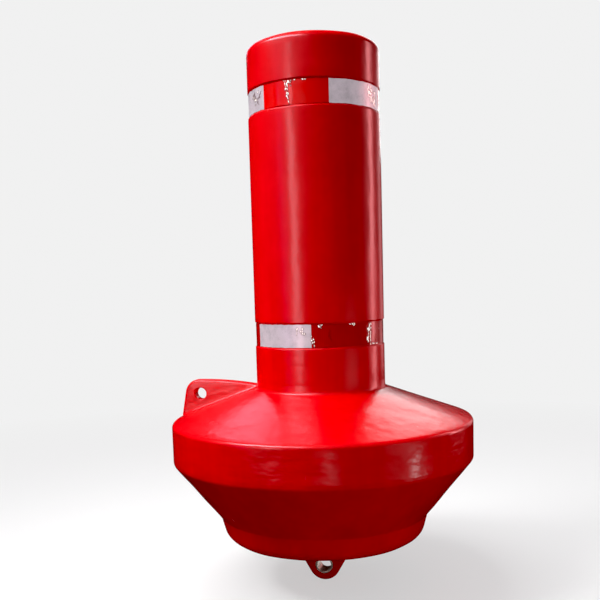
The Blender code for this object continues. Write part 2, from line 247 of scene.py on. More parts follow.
def first_crossing(values, distances):
    """Distance at which each row of values first falls through zero, or the last one."""
    under = values <= 0
    hit = under.any(axis=1)
    at = np.where(hit, under.argmax(axis=1), values.shape[1] - 1)
    at = np.maximum(at, 1)
    rows = np.arange(len(values))
    high, low = values[rows, at - 1], values[rows, at]
    share = np.where(hit, high / np.where(hit, high - low, 1), 1)
    return distances[at - 1] + share * (distances[at] - distances[at - 1])


def outline_reach(eye, rays, outline):
    """Distance from the eye to a closed outline along each ray."""
    ahead = np.roll(outline, -1, axis=0) - outline
    gap = outline - eye
    cross = rays[:, None, 0] * ahead[None, :, 1] - rays[:, None, 1] * ahead[None, :, 0]
    cross = np.where(np.abs(cross) < 1e-12, 1e-12, cross)
    reach = (gap[:, 0] * ahead[:, 1] - gap[:, 1] * ahead[:, 0])[None] / cross
    share = (gap[:, 0] * rays[:, None, 1] - gap[:, 1] * rays[:, None, 0]) / cross
    reach = np.where((share > -1e-9) & (share < 1 + 1e-9) & (reach > 0), reach, np.inf)
    return reach.min(axis=1)


def distance_to(outline, points):
    """Distance from points, in an array of any shape, to an open outline."""
    start = outline[:-1]
    ahead = outline[1:] - start
    share = ((points[..., None, :] - start) * ahead).sum(-1) / (ahead ** 2).sum(-1)
    foot = start + np.clip(share, 0, 1)[..., None] * ahead
    return np.linalg.norm(points[..., None, :] - foot, axis=-1).min(-1)


GAP = 0.0003
EMBED = 0.020
LUG_RAYS = 184
LUG_ROOT_ROUND = 0.010
FADED_ROUND = 0.002
FADE_LENGTH = 0.030
BURIED_DEPTH = 0.010


def lug_ring(eye, bore, lip, free_edge, hidden, thickness, rim, root_end, clearance):
    """Closed ring of points over a lug, from the wall of its eye to its rim or root.

    Each ray from the eye carries half a section: bore wall, lip arc, flank, then
    either the rim's arc down to the edge or the fillet that flares into the float.
    half thickness = T/2 - rim arc(distance to the free edge) + root arc(clearance),
    where the root's rounding fades as a point comes near the root's end.
    The other half is its mirror image in y.
    """
    angle = np.linspace(0, tau, LUG_RAYS, endpoint=False)
    ray = np.stack([np.cos(angle), np.sin(angle)], 1)
    half = thickness / 2
    start = bore + lip
    reach = outline_reach(eye, ray, np.concatenate([free_edge, hidden]))
    look = np.linspace(start, reach.max(), 600)
    seen = eye + ray[:, None, :] * look[None, :, None]
    ground = first_crossing(clearance(seen[..., 0], half, seen[..., 1]), look)
    key = np.minimum(reach, ground)
    zone = 0.5 * (key - start)
    even = np.linspace(0, 1, 14)[:-1]
    packed = 1 - (1 - np.linspace(0, 1, 26)) ** 2
    distance = np.concatenate([start + (key - zone - start)[:, None] * even,
                               (key - zone)[:, None] + zone[:, None] * packed], 1)
    flank = eye + ray[:, None, :] * distance[..., None]
    shortfall = np.maximum(rim - distance_to(free_edge, flank), 0)
    share = np.clip((root_end - np.abs(flank[..., 0])) / FADE_LENGTH, 0, 1)
    radius = FADED_ROUND + (LUG_ROOT_ROUND - FADED_ROUND) * share
    out = np.full(distance.shape, half)
    for _ in range(4):
        rise = np.clip(clearance(flank[..., 0], out, flank[..., 1]), 0, radius)
        flare = radius - np.sqrt(radius ** 2 - (radius - rise) ** 2)
        out = half - rim + np.sqrt(rim ** 2 - shortfall ** 2) + flare
    wall = np.linspace(0, 1, 4)[:-1] * (half - lip)
    bend = np.linspace(0, pi / 2, 5)[:-1]
    inner = np.concatenate([np.full(3, bore), bore + lip * (1 - np.cos(bend))])
    inner_out = np.concatenate([wall, half - lip + lip * np.sin(bend)])
    close = np.linspace(0, 1, 5)[1:]
    buried = np.minimum(np.where(reach > ground, BURIED_DEPTH, 0), reach - key)
    outer = key[:, None] + buried[:, None] * close
    outer_out = out[:, -1:] * (1 - close)
    distance = np.concatenate([np.tile(inner, (LUG_RAYS, 1)), distance, outer], 1)
    out = np.concatenate([np.tile(inner_out, (LUG_RAYS, 1)), out, outer_out], 1)
    distance = np.concatenate([distance, distance[:, -2:0:-1]], 1)
    out = np.concatenate([-out, out[:, -2:0:-1]], 1)
    place = eye + ray[:, None, :] * distance[..., None]
    return np.stack([place[..., 0], out, place[..., 1]], -1)


FIN_TOP_Z = DECK_Z + 0.017
FIN_THICKNESS = 0.024
FIN_FOOT_INSET = 0.002
FIN_RAKE = radians(10.6)
FIN_CROWN_INSET = 0.061
FIN_CROWN_RADIUS = 0.84
FIN_NOSE_ROUND = 0.035
FIN_RIM_ROUND = 0.007
LIFT_EYE_RADIUS = 0.014
LIFT_EYE_LIP = 0.003
LIFT_EYE_INSET = 0.053
LIFT_EYE_DROP = 0.034


def lifting_lug():
    """The lifting fin: crowned top, round nose, raked edge, plain moulded eye.

    The crown's height falls from the top by reach squared / twice its radius.
    """
    foot = FLOAT_RADIUS - FIN_FOOT_INSET
    rake = tan(FIN_RAKE)
    nose = foot - (FIN_TOP_Z - SHOULDER_Z) * rake
    crown_end = FLOAT_RADIUS - FIN_CROWN_INSET
    inside = TOWER_RADIUS - EMBED
    reach = np.linspace(crown_end - inside, 0, 24)
    crown = np.stack([reach - crown_end, FIN_TOP_Z - reach ** 2 / (2 * FIN_CROWN_RADIUS)], 1)
    low = SHOULDER_Z - EMBED
    corners = [(-crown_end, FIN_TOP_Z, 0), (-nose, FIN_TOP_Z, FIN_NOSE_ROUND), (-foot - EMBED * rake, low, 0)]
    free_edge = np.concatenate([crown, rounded_outline(corners, 0.005)[1:]])
    hidden = np.array([(-inside, low)])
    eye = np.array([LIFT_EYE_INSET - FLOAT_RADIUS, FIN_TOP_Z - LIFT_EYE_DROP])
    return lug_ring(eye, LIFT_EYE_RADIUS, LIFT_EYE_LIP, free_edge, hidden, FIN_THICKNESS,
                    FIN_RIM_ROUND, foot, above_deck)


BUSH_LOW, BUSH_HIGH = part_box("mooring_bush")
BUSH_RADIUS = (BUSH_HIGH.x - BUSH_LOW.x) / 2
LUG_TIP_RADIUS = 0.038
LUG_THICKNESS = 0.040
LUG_RIM_ROUND = 0.008
LUG_FLARE = radians(60)
LUG_FLARE_ROUND = 0.020
BORE_LIP = 0.0008


def mooring_lug():
    """The mooring lug: a round tip below the bush that flares into the float.

    Its straight edges touch the tip's circle: width = (tip radius + height *
    cos(flare)) / sin(flare).
    """
    root = BOTTOM_Z + GAP
    width = (LUG_TIP_RADIUS + root * cos(LUG_FLARE)) / sin(LUG_FLARE)
    end = width + LUG_FLARE_ROUND * tan(LUG_FLARE / 2)
    side = [(end + FADED_ROUND, root, 0), (width, root, LUG_FLARE_ROUND)]
    tip = [(0, -LUG_TIP_RADIUS / cos(LUG_FLARE), LUG_TIP_RADIUS)]
    other = [(-x, z, rounding) for x, z, rounding in reversed(side)]
    free_edge = rounded_outline(side + tip + other, 0.004, radians(5))
    hidden = np.array([(-end, BOTTOM_Z + EMBED), (end, BOTTOM_Z + EMBED)])
    return lug_ring(np.zeros(2), BUSH_RADIUS + GAP, BORE_LIP, free_edge, hidden, LUG_THICKNESS,
                    LUG_RIM_ROUND, width, below_float)


moulding = moulded_mesh("moulding", [grid_shell(turned_skin(), False),
                                     grid_shell(lifting_lug(), True),
                                     grid_shell(mooring_lug(), True)])


def add_node(tree, kind, inputs=(), **settings):
    """Shader node with its settings, its plain values, and its links from sockets."""
    node = tree.nodes.new(kind)
    for name, value in settings.items():
        setattr(node, name, value)
    for key, value in dict(inputs).items():
        if isinstance(value, bpy.types.NodeSocket):
            tree.links.new(value, node.inputs[key])
        else:
            node.inputs[key].default_value = value
    return node


def new_material(name, colour, roughness, metallic=0.0, specular=0.5):
    """Principled material of one plain colour, with its tree and shader."""
    material = bpy.data.materials.new(name)
    material.use_nodes = True
    shader = material.node_tree.nodes["Principled BSDF"]
    shader.inputs["Base Color"].default_value = (*colour, 1)
    shader.inputs["Roughness"].default_value = roughness
    shader.inputs["Metallic"].default_value = metallic
    shader.inputs["Specular IOR Level"].default_value = specular
    return material, material.node_tree, shader


def shader_group(name, inputs, outputs):
    """Empty node group with named sockets, its group input and its group output."""
    tree = bpy.data.node_groups.new(name, "ShaderNodeTree")
    for socket, kind in inputs:
        tree.interface.new_socket(name=socket, in_out="INPUT", socket_type=kind)
    for socket, kind in outputs:
        tree.interface.new_socket(name=socket, in_out="OUTPUT", socket_type=kind)
    return tree, tree.nodes.new("NodeGroupInput"), tree.nodes.new("NodeGroupOutput")


def noise(tree, vector, scale, detail=2.0, roughness=0.5):
    """Output of a noise texture over a vector."""
    values = {"Vector": vector, "Scale": scale, "Detail": detail, "Roughness": roughness}
    return add_node(tree, "ShaderNodeTexNoise", values).outputs["Fac"]


def remap(tree, value, low, high, to_low=0.0, to_high=1.0):
    """Value moved from one range to another, and held inside it."""
    values = {"Value": value, "From Min": low, "From Max": high, "To Min": to_low, "To Max": to_high}
    return add_node(tree, "ShaderNodeMapRange", values).outputs["Result"]


def combine_values(tree, operation, first, second):
    """One math node over two values or sockets."""
    return add_node(tree, "ShaderNodeMath", {0: first, 1: second}, operation=operation).outputs[0]


def mix_colours(tree, factor, first, second):
    """Colour between two others: the first at factor 0, the second at 1."""
    values = {"Factor": factor, "A": first, "B": second}
    return add_node(tree, "ShaderNodeMix", values, data_type="RGBA").outputs["Result"]


def coordinate(tree, vector, axis):
    """One coordinate of a vector."""
    return add_node(tree, "ShaderNodeSeparateXYZ", {0: vector}).outputs[axis]


def stretched(tree, vector, x, y, z):
    """Vector with each axis scaled, to draw a texture out along one of them."""
    return add_node(tree, "ShaderNodeMapping", {"Vector": vector, "Scale": (x, y, z)}).outputs["Vector"]


def moulded_skin():
    """Skin of rotomoulded polyethylene, shared by the body and its plug.

    Tone is a faint cloudiness of the pigment, Wear marks thin scuffs and rubbed
    patches, and Height holds orange peel, dimples and the slow ripple of the mould,
    which is deeper over the float's side and deck.
    """
    tree, into, out = shader_group("moulded skin", [("Position", "NodeSocketVector")],
                                   [("Tone", "NodeSocketFloat"), ("Wear", "NodeSocketFloat"),
                                    ("Height", "NodeSocketFloat")])
    place = into.outputs["Position"]
    cloud = noise(tree, place, 9, 4, 0.6)
    runs = noise(tree, stretched(tree, place, 30, 30, 2.5), 1, 3, 0.6)
    tone = combine_values(tree, "ADD", remap(tree, cloud, 0.3, 0.7, 0, 0.6),
                          remap(tree, runs, 0.35, 0.7, 0, 0.4))
    fine = noise(tree, stretched(tree, place, 260, 260, 18), 1, 2)
    cross = noise(tree, stretched(tree, place, 16, 16, 420), 1, 2)
    where = remap(tree, noise(tree, place, 5, 5, 0.7), 0.60, 0.74)
    scuffs = combine_values(tree, "MAXIMUM", remap(tree, fine, 0.69, 0.75), remap(tree, cross, 0.68, 0.74))
    wear = combine_values(tree, "MULTIPLY", scuffs, where)
    peel = combine_values(tree, "MULTIPLY", noise(tree, place, 130, 1), 0.35)
    ripple = combine_values(tree, "MULTIPLY", noise(tree, place, 20, 1), 4.2)
    dimple = combine_values(tree, "MULTIPLY", noise(tree, place, 62, 1), 1.4)
    bands = combine_values(tree, "MULTIPLY", noise(tree, stretched(tree, place, 9, 9, 60), 1, 1), 2.0)
    fine_relief = combine_values(tree, "ADD", combine_values(tree, "ADD", peel, dimple), bands)
    level = coordinate(tree, place, "Z")
    beside = combine_values(tree, "MULTIPLY", remap(tree, level, 0.262, 0.275),
                            remap(tree, level, 0.430, 0.445, 1, 0))
    drawn = combine_values(tree, "MULTIPLY", noise(tree, stretched(tree, place, 17, 17, 36), 1, 2), 8)
    side_ripple = combine_values(tree, "MULTIPLY", drawn, beside)
    height = combine_values(tree, "ADD", fine_relief, combine_values(tree, "ADD", ripple, side_ripple))
    tree.links.new(tone, out.inputs["Tone"])
    tree.links.new(wear, out.inputs["Wear"])
    tree.links.new(height, out.inputs["Height"])
    return tree


MOULDED_SKIN = moulded_skin()


def moulded_red(name, seam, deep, fresh):
    """Red polyethylene between two tones, with or without the seam of its mould."""
    material, tree, shader = new_material(name, (0.62, 0.003, 0.006), 0.3, specular=0.28)
    place = add_node(tree, "ShaderNodeTexCoord").outputs["Object"]
    skin = add_node(tree, "ShaderNodeGroup", node_tree=MOULDED_SKIN, inputs={"Position": place})
    rubbed = (0.70, 0.045, 0.050, 1)
    base = mix_colours(tree, skin.outputs["Tone"], deep, fresh)
    worn = mix_colours(tree, combine_values(tree, "MULTIPLY", skin.outputs["Wear"], 0.25), base, rubbed)
    tree.links.new(worn, shader.inputs["Base Color"])
    gloss = remap(tree, skin.outputs["Tone"], 0, 1, 0.23, 0.28)
    rough = combine_values(tree, "ADD", gloss, combine_values(tree, "MULTIPLY", skin.outputs["Wear"], 0.02))
    tree.links.new(rough, shader.inputs["Roughness"])
    height = skin.outputs["Height"]
    if seam:
        beside = coordinate(tree, place, "Y")
        off_plane = add_node(tree, "ShaderNodeMath", {0: beside}, operation="ABSOLUTE").outputs[0]
        height = combine_values(tree, "ADD", height, remap(tree, off_plane, 0.0003, 0.0011, 1.2, 0))
    bump = add_node(tree, "ShaderNodeBump", {"Height": height, "Distance": 0.00030, "Strength": 0.7})
    tree.links.new(bump.outputs["Normal"], shader.inputs["Normal"])
    return material


BODY_DEEP_RED = (0.55, 0.0020, 0.0045, 1)
BODY_FRESH_RED = (0.68, 0.0030, 0.0065, 1)
moulding.data.materials.append(moulded_red("moulded red", True, BODY_DEEP_RED, BODY_FRESH_RED))
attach(moulding, "root")
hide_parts("buoy_body")


# The filler plug in the tower's top. A disc of the body's own red polyethylene,
# driven by a hexagon key into the opening that the float was filled through.
PLUG_LOW, PLUG_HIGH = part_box("filler_plug")
PLUG_DEEP_RED = (0.42, 0.0015, 0.0040, 1)
PLUG_FRESH_RED = (0.50, 0.0025, 0.0055, 1)
PLUG_EDGE = 0.001
KEY_RADIUS = 0.011
KEY_DEPTH = 0.006
SOCKET_EDGE = 0.0006


def plug_surface():
    """Grid of points over the plug: socket floor and wall, face, rim and underside.

    The socket is a hexagon: radius(angle) = across flats / 2 / cos(angle from the
    middle of a flat). Face rows run evenly from that radius to the round rim. The
    body's skin has no pocket here, so it closes the socket just below the face.
    """
    centre = (PLUG_LOW + PLUG_HIGH) / 2
    rim = (PLUG_HIGH.x - PLUG_LOW.x) / 2
    angle = np.linspace(0, tau, 192, endpoint=False)
    flat = KEY_RADIUS * cos(radians(30))
    hexagon = flat / np.cos((angle + radians(30)) % radians(60) - radians(30))
    floor_z = PLUG_HIGH.z - KEY_DEPTH
    edge = SOCKET_EDGE
    bend = np.linspace(0, pi / 2, 6)
    rows = [(hexagon * share, floor_z) for share in np.linspace(0, 0.85, 5)]
    rows += [(hexagon - edge + edge * sin(turn), floor_z + edge * (1 - cos(turn))) for turn in bend]
    rows += [(hexagon + edge * (1 - cos(turn)), PLUG_HIGH.z - edge * (1 - sin(turn))) for turn in bend]
    inner = hexagon + edge
    outer = rim - PLUG_EDGE
    rows += [(inner + (outer - inner) * share, PLUG_HIGH.z) for share in np.linspace(0, 1, 12)[1:]]
    rows += [(outer + PLUG_EDGE * sin(turn) + 0 * angle, PLUG_HIGH.z - PLUG_EDGE * (1 - cos(turn)))
             for turn in bend[1:]]
    rows += [(rim + 0 * angle, PLUG_LOW.z), (0 * angle, PLUG_LOW.z)]
    radius = np.stack([row[0] for row in rows])
    height = np.array([row[1] for row in rows])[:, None] + 0 * angle
    return np.stack([centre.x + radius * np.cos(angle), centre.y + radius * np.sin(angle), height], -1)


plug = moulded_mesh("plug", [grid_shell(plug_surface(), False)])
plug.data.materials.append(moulded_red("plug red", False, PLUG_DEEP_RED, PLUG_FRESH_RED))
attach(plug, "root")
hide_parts("filler_plug")


# The mooring bush: a length of steel tube moulded into the lug as the wall formed,
# faced and chamfered at both ends, and polished inside by its shackle.
BUSH_WALL = 0.004
BUSH_OUTER_CHAMFER = 0.0010
BUSH_INNER_CHAMFER = 0.0012


def bush_surface():
    """Ring of points round the bush's bore: its turned outline spun about the Y axis."""
    half = BUSH_HIGH.y
    outer = BUSH_RADIUS
    inner = outer - BUSH_WALL
    corners = [(outer, 0, 0), (outer, half, BUSH_OUTER_CHAMFER), (inner, half, BUSH_INNER_CHAMFER),
               (inner, -half, BUSH_INNER_CHAMFER), (outer, -half, BUSH_OUTER_CHAMFER), (outer, 0, 0)]
    outline = rounded_outline(corners, 0.0015, radians(15))[:-1]
    angle = np.linspace(0, tau, 160, endpoint=False)[None, :]
    radius = outline[:, 0][:, None]
    depth = outline[:, 1][:, None]
    return np.stack([radius * np.cos(angle), depth + 0 * angle, radius * np.sin(angle)], -1)


def turned_steel():
    """Turned steel: fine rings from the tool, dulled and stained brown by salt air."""
    material, tree, shader = new_material("bush steel", (0.50, 0.47, 0.42), 0.35, 0.6)
    place = add_node(tree, "ShaderNodeTexCoord").outputs["Object"]
    across = {"X": coordinate(tree, place, "X"), "Y": coordinate(tree, place, "Z")}
    flat = add_node(tree, "ShaderNodeCombineXYZ", across).outputs[0]
    radius = add_node(tree, "ShaderNodeVectorMath", {0: flat}, operation="LENGTH").outputs["Value"]
    depth = coordinate(tree, place, "Y")
    section = add_node(tree, "ShaderNodeCombineXYZ", {"X": radius, "Y": depth}).outputs[0]
    marks = noise(tree, section, 3200, 2, 0.6)
    stains = remap(tree, noise(tree, place, 170, 5, 0.7), 0.42, 0.66)
    colour = mix_colours(tree, stains, (0.72, 0.66, 0.58, 1), (0.40, 0.27, 0.16, 1))
    tree.links.new(colour, shader.inputs["Base Color"])
    tree.links.new(remap(tree, stains, 0, 1, 0.26, 0.55), shader.inputs["Roughness"])
    bump = add_node(tree, "ShaderNodeBump", {"Height": marks, "Distance": 0.00012, "Strength": 0.5})
    tree.links.new(bump.outputs["Normal"], shader.inputs["Normal"])
    return material


bush = moulded_mesh("bush", [grid_shell(bush_surface(), True)])
bush.data.materials.append(turned_steel())
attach(bush, "root")
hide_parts("mooring_bush")


# The reflective tapes: glossy film over reflecting prisms, red and white by turns,
# stuck round the tower's recesses by hand. Each end laps over its start, and the
# film has creases where it would not lie down: pale along their crests, partly
# whitened film and partly painted glints, and dark on their flanks with painted shade.
TAPE_RADIUS = RECESS_RADIUS + GAP
TAPE_THICKNESS = 0.0005
LAP_LENGTH = 0.026
CLIMB_LENGTH = 0.010
CREASE_RISE = 0.0009
CURL_RISE = 0.0009
CURL_LENGTH = 0.012
LOOSENESS = 0.00016
EDGE_RISE = 0.0004
EDGE_WANDER = 0.0006
TEAR_LENGTH = 0.008


def scattered_creases(groups, seed):
    """Creases thrown about each group's middle, as rows of one array.

    A group gives its angle and height, how far its creases spread along and up, how
    many they are, their lean from upright, their length and how sharp they are.
    """
    rng = np.random.default_rng(seed)
    rows = []
    for angle, middle, spread_along, spread_up, count, lean, length, sharpness in groups:
        along = angle * TAPE_RADIUS + rng.uniform(-spread_along, spread_along, count)
        height = middle + rng.uniform(-spread_up, spread_up, count)
        leans = lean + rng.normal(0, 0.30, count)
        widths = rng.uniform(0.0012, 0.0028, count) * (2.4 - 1.4 * sharpness)
        lengths = length * rng.uniform(0.6, 1.3, count)
        sharp = sharpness * rng.uniform(0.6, 1, count)
        rows.append(np.stack([along, height, leans, widths, lengths, sharp], 1))
    return np.concatenate(rows)


def crease_ridges(along, up, creases):
    """Sharpness of the creases at each point, from 0 on flat film to 1 on a ridge.

    ridge = sharpness * (1 - distance to the crease / width), bent into a slight wave
    along its length and faded at both ends. Where two cross, the sharper one holds.
    """
    total = np.zeros(np.broadcast(along, up).shape)
    round_way = tau * TAPE_RADIUS
    for place, middle, lean, width, length, sharpness in creases:
        beside = (along - place + round_way / 2) % round_way - round_way / 2
        down = beside * sin(lean) + (up - middle) * cos(lean)
        across = beside * cos(lean) - (up - middle) * sin(lean) + 0.0008 * np.sin(down * 900 + place * 1e4)
        ridge = np.clip(1 - np.abs(across) / width, 0, 1)
        total = np.maximum(total, sharpness * ridge * np.clip(1.5 - np.abs(down) * 3 / length, 0, 1))
    return total


def tape_strip(name, centre_z, lap_angle, end_slant, joints, creases, seed, ragged_joint=None):
    """Closed strip wound once round the tower, with its lap, creases and map.

    radius = tape radius + climb over its own start + creases + a slow looseness +
    lifted edges + the curl of the free end. The looseness goes a little below zero
    in places. The map's u counts the colour fields, each one long, and v runs up the width.
    A ragged joint, where there is one, has its angle between the strip's own ends.
    """
    start = lap_angle - LAP_LENGTH / TAPE_RADIUS
    end = lap_angle + tau
    fields = np.concatenate([joints - tau, joints, joints + tau])
    inside = fields[(fields > start) & (fields < end)]
    angle = np.unique(np.concatenate([np.linspace(start, end, 1350), inside - 2e-4, inside + 2e-4]))
    spread = np.linspace(-1, 1, 36)
    wide = -0.5 * (0.65 * spread + 0.35 * np.sin(spread * pi / 2))
    level = np.concatenate([wide, wide[::7][::-1]])[:, None]
    outside = np.concatenate([np.ones(36), np.zeros(6)])[:, None]
    turn = angle[None, :]
    up = level * TAPE_WIDTH
    along = turn * TAPE_RADIUS
    climb = np.clip((turn - start - tau) * TAPE_RADIUS / CLIMB_LENGTH + 1, 0, 1)
    climb = (3 * climb ** 2 - 2 * climb ** 3) * (TAPE_THICKNESS + GAP)
    from_end = (end - turn) * TAPE_RADIUS
    free_end = np.clip(1 - from_end / CURL_LENGTH, 0, 1)
    crease_sharpness = crease_ridges(along, up, creases)
    # The free end's last millimetre counts as a crease, in dashes: lifted a little, and pale, partly the
    # film's white core and partly a painted glint.
    cut_edge = np.clip(1.5 - from_end / 0.0012, 0, 1) * (0.5 + 0.5 * np.sin(up * 700 + seed))
    crease_sharpness = np.maximum(crease_sharpness, cut_edge)
    loose = LOOSENESS * (1 + slow_waves(turn, up, 8, (4, 17), (4, 30), seed + 1))
    edge_lift = EDGE_RISE * np.clip(np.abs(level) * 2 - 0.86, 0, 1) / 0.14
    edge_lift = edge_lift * np.clip(slow_waves(turn, 0 * up, 9, (9, 40), (0, 0), seed + 2), 0, 1)
    curl = CURL_RISE * free_end ** 2 * (0.6 + 0.4 * np.sin(level * 9 + seed))
    lift = CREASE_RISE * crease_sharpness + loose + edge_lift + curl
    lift = np.where(turn > start + LAP_LENGTH / TAPE_RADIUS, lift, 0)
    radius = TAPE_RADIUS + climb + outside * TAPE_THICKNESS + lift
    slant = turn + free_end * up * end_slant / TAPE_RADIUS
    ragged = EDGE_WANDER * slow_waves(turn, 0 * up, 12, (12, 60), (0, 0), seed + 3)
    points = np.stack([radius * np.cos(slant), radius * np.sin(slant), centre_z + up + ragged], -1)
    rows, columns = points.shape[:2]
    index = np.arange(rows * columns).reshape(rows, columns)
    ahead = np.roll(index, -1, axis=0)
    quads = np.stack([index[:, :-1], ahead[:, :-1], ahead[:, 1:], index[:, 1:]], -1).reshape(-1, 4)
    mesh = bpy.data.meshes.new(name)
    ends = [index[:, 0].tolist(), index[:, -1].tolist()]
    mesh.from_pydata(points.reshape(-1, 3), [], quads.tolist() + ends)
    count = np.interp(angle, fields, np.arange(len(fields)) - len(joints)) + 0 * level
    if ragged_joint is not None:
        torn = np.exp(-((turn - ragged_joint) * TAPE_RADIUS / TEAR_LENGTH) ** 2)
        torn = torn * (0.040 * (0.5 + level) + 0.022 * np.sin(level * 23) + 0.012 * np.sin(level * 61))
        count = count + torn
    place_map = np.stack([count, np.broadcast_to(level + 0.5, count.shape)], -1)
    corners = np.empty(len(mesh.loops), dtype=np.int32)
    mesh.loops.foreach_get("vertex_index", corners)
    layer = mesh.uv_layers.new(name="fields")
    layer.data.foreach_set("uv", place_map.reshape(-1, 2)[corners].astype(np.float32).ravel())
    layer = mesh.attributes.new("crease_sharpness", "FLOAT", "POINT")
    layer.data.foreach_set("value", crease_sharpness.astype(np.float32).ravel())
    return finished_piece(name, mesh, radians(50))


def reflective_film():
    """Red and white prismatic film under one clear face, with painted light along its creases.

    Thin lines seal its cells. Crease crests are pale, partly whitened film and partly
    painted glints, and their flanks carry painted shade. White film and the crests have a
    painted glow for the light that prisms throw back. The lower tape's red holds painted shade.
    """
    material, tree, shader = new_material("reflective film", (0.6, 0.02, 0.02), 0.18, specular=0.32)
    fields = add_node(tree, "ShaderNodeUVMap", uv_map="fields").outputs["UV"]
    count = coordinate(tree, fields, "X")
    white = combine_values(tree, "LESS_THAN", combine_values(tree, "FLOORED_MODULO", count, 2), 1)
    net = {"Vector": stretched(tree, fields, 62, 20, 1), "Scale": 1.0, "Randomness": 0.0}
    cells = add_node(tree, "ShaderNodeTexVoronoi", net, feature="DISTANCE_TO_EDGE").outputs["Distance"]
    seal = remap(tree, cells, 0.02, 0.09, 1, 0)
    place = add_node(tree, "ShaderNodeTexCoord").outputs["Object"]
    grime = remap(tree, noise(tree, place, 40, 5, 0.65), 0.45, 0.75)
    # Painted shade: the red film darkens from 0.66 to 0.38 downwards between 0.95 m and 0.60 m, so the lower
    # tape's red is the darker.
    lower_tape_shade = remap(tree, coordinate(tree, place, "Z"), 0.95, 0.60)
    height_shaded_red = mix_colours(tree, lower_tape_shade, (0.66, 0.004, 0.003, 1), (0.38, 0.002, 0.002, 1))
    red = mix_colours(tree, combine_values(tree, "MULTIPLY", seal, 0.3), height_shaded_red, (0.66, 0.008, 0.008, 1))
    pale = mix_colours(tree, grime, (0.32, 0.27, 0.30, 1), (0.21, 0.18, 0.20, 1))
    lined = mix_colours(tree, combine_values(tree, "MULTIPLY", seal, 0.35), pale, (0.68, 0.66, 0.68, 1))
    colour = mix_colours(tree, white, red, lined)
    crease_sharpness = add_node(tree, "ShaderNodeAttribute", attribute_name="crease_sharpness").outputs["Fac"]
    # Painted shade: creases darken from their edges inwards, and faint creases stay dark all along.
    crease_flank_shade = mix_colours(tree, remap(tree, crease_sharpness, 0.04, 0.22, 0, 0.85), colour, (0.05, 0.01, 0.01, 1))
    # Crease crests pale towards (0.94, 0.86, 0.82): partly whitened film, partly painted glints.
    crest_whitening_and_glint = remap(tree, crease_sharpness, 0.30, 0.60)
    crease_painted_colour = mix_colours(tree, crest_whitening_and_glint, crease_flank_shade, (0.94, 0.86, 0.82, 1))
    tree.links.new(crease_painted_colour, shader.inputs["Base Color"])
    # Painted glow: white film and pale crests glow at strength 0.9 in their own colour, red film faintly, in
    # place of light the prisms throw back.
    glow_mask = combine_values(tree, "MAXIMUM", white, crest_whitening_and_glint)
    painted_glow = mix_colours(tree, glow_mask, (0.02, 0.0, 0.0, 1), crease_painted_colour)
    tree.links.new(painted_glow, shader.inputs["Emission Color"])
    shader.inputs["Emission Strength"].default_value = 0.9
    silvery = combine_values(tree, "MULTIPLY", white, 0.30)
    tree.links.new(silvery, shader.inputs["Metallic"])
    gloss = remap(tree, grime, 0, 1, 0.14, 0.30)
    tree.links.new(combine_values(tree, "MAXIMUM", gloss, silvery), shader.inputs["Roughness"])
    bump = add_node(tree, "ShaderNodeBump", {"Height": seal, "Distance": 0.00010, "Strength": 0.4})
    tree.links.new(bump.outputs["Normal"], shader.inputs["Normal"])
    return material


FILM = reflective_film()
UPRIGHT = 0.0
LEVEL = pi / 2
UPPER_LAP = radians(260)
UPPER_END_SLANT = -0.20
UPPER_FIELD = 60.2
upper_joints = np.radians(294.6 + UPPER_FIELD * np.arange(6))
upper_creases = [
    (radians(260), 0, 0.0020, 0.021, 12, UPRIGHT + 0.2, 0.009, 1.0),
    (radians(268), 0.0243, 0.024, 0.0006, 9, LEVEL, 0.005, 0.9),
    (radians(262), 0.018, 0.006, 0.004, 5, LEVEL / 2, 0.006, 0.8),
    (radians(341), 0, 0.016, 0.019, 26, UPRIGHT, 0.014, 1.0),
    (radians(341), 0.004, 0.016, 0.014, 8, LEVEL * 0.6, 0.010, 1.0),
    (radians(225), 0.007, 0.016, 0.006, 6, LEVEL * 0.6, 0.020, 0.36),
    (radians(228), -0.008, 0.004, 0.003, 3, LEVEL * 0.3, 0.006, 0.36),
    (radians(222), 0.002, 0.022, 0.014, 7, LEVEL * 0.7, 0.010, 0.9),
    (radians(70), 0, 0.030, 0.018, 14, UPRIGHT, 0.014, 0.8),
    (radians(140), 0.023, 0.050, 0.001, 8, LEVEL, 0.006, 0.8)]
upper_tape = tape_strip("upper_film", UPPER_TAPE_Z, UPPER_LAP, UPPER_END_SLANT, upper_joints,
                        scattered_creases(upper_creases, 21), 21, ragged_joint=upper_joints[2])
upper_tape.data.materials.append(FILM)
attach(upper_tape, "root")
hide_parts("upper_tape")

LOWER_LAP = radians(331)
LOWER_END_SLANT = 0.05
LOWER_FIELD = 58.8
LOWER_SHORT_FIELD = 27.7
full_fields = np.array([0, 1, 2, 3, 3, 4])
short_fields = np.array([0, 0, 0, 0, 1, 1])
lower_joints = np.radians(372 + LOWER_FIELD * full_fields + LOWER_SHORT_FIELD * short_fields)
lower_creases = [
    (radians(266), 0.009, 0.010, 0.007, 7, LEVEL / 2, 0.007, 0.9),
    (radians(276), -0.004, 0.003, 0.018, 6, UPRIGHT, 0.007, 0.9),
    (radians(282), 0.020, 0.007, 0.004, 6, LEVEL * 0.6, 0.007, 1.0),
    (radians(290.5), 0.001, 0.001, 0.006, 3, UPRIGHT, 0.030, 0.14),
    (radians(310), 0.0225, 0.010, 0.002, 6, LEVEL, 0.005, 1.0),
    (radians(328), 0.002, 0.004, 0.019, 13, UPRIGHT, 0.010, 1.0),
    (radians(339), -0.0235, 0.012, 0.0012, 6, LEVEL, 0.006, 0.9),
    (radians(90), 0, 0.035, 0.018, 14, UPRIGHT, 0.014, 0.8),
    (radians(180), 0.022, 0.060, 0.002, 9, LEVEL, 0.006, 0.8)]
lower_tape = tape_strip("lower_film", LOWER_TAPE_Z, LOWER_LAP, LOWER_END_SLANT, lower_joints,
                        scattered_creases(lower_creases, 31), 31)
lower_tape.data.materials.append(FILM)
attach(lower_tape, "root")
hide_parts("lower_tape")


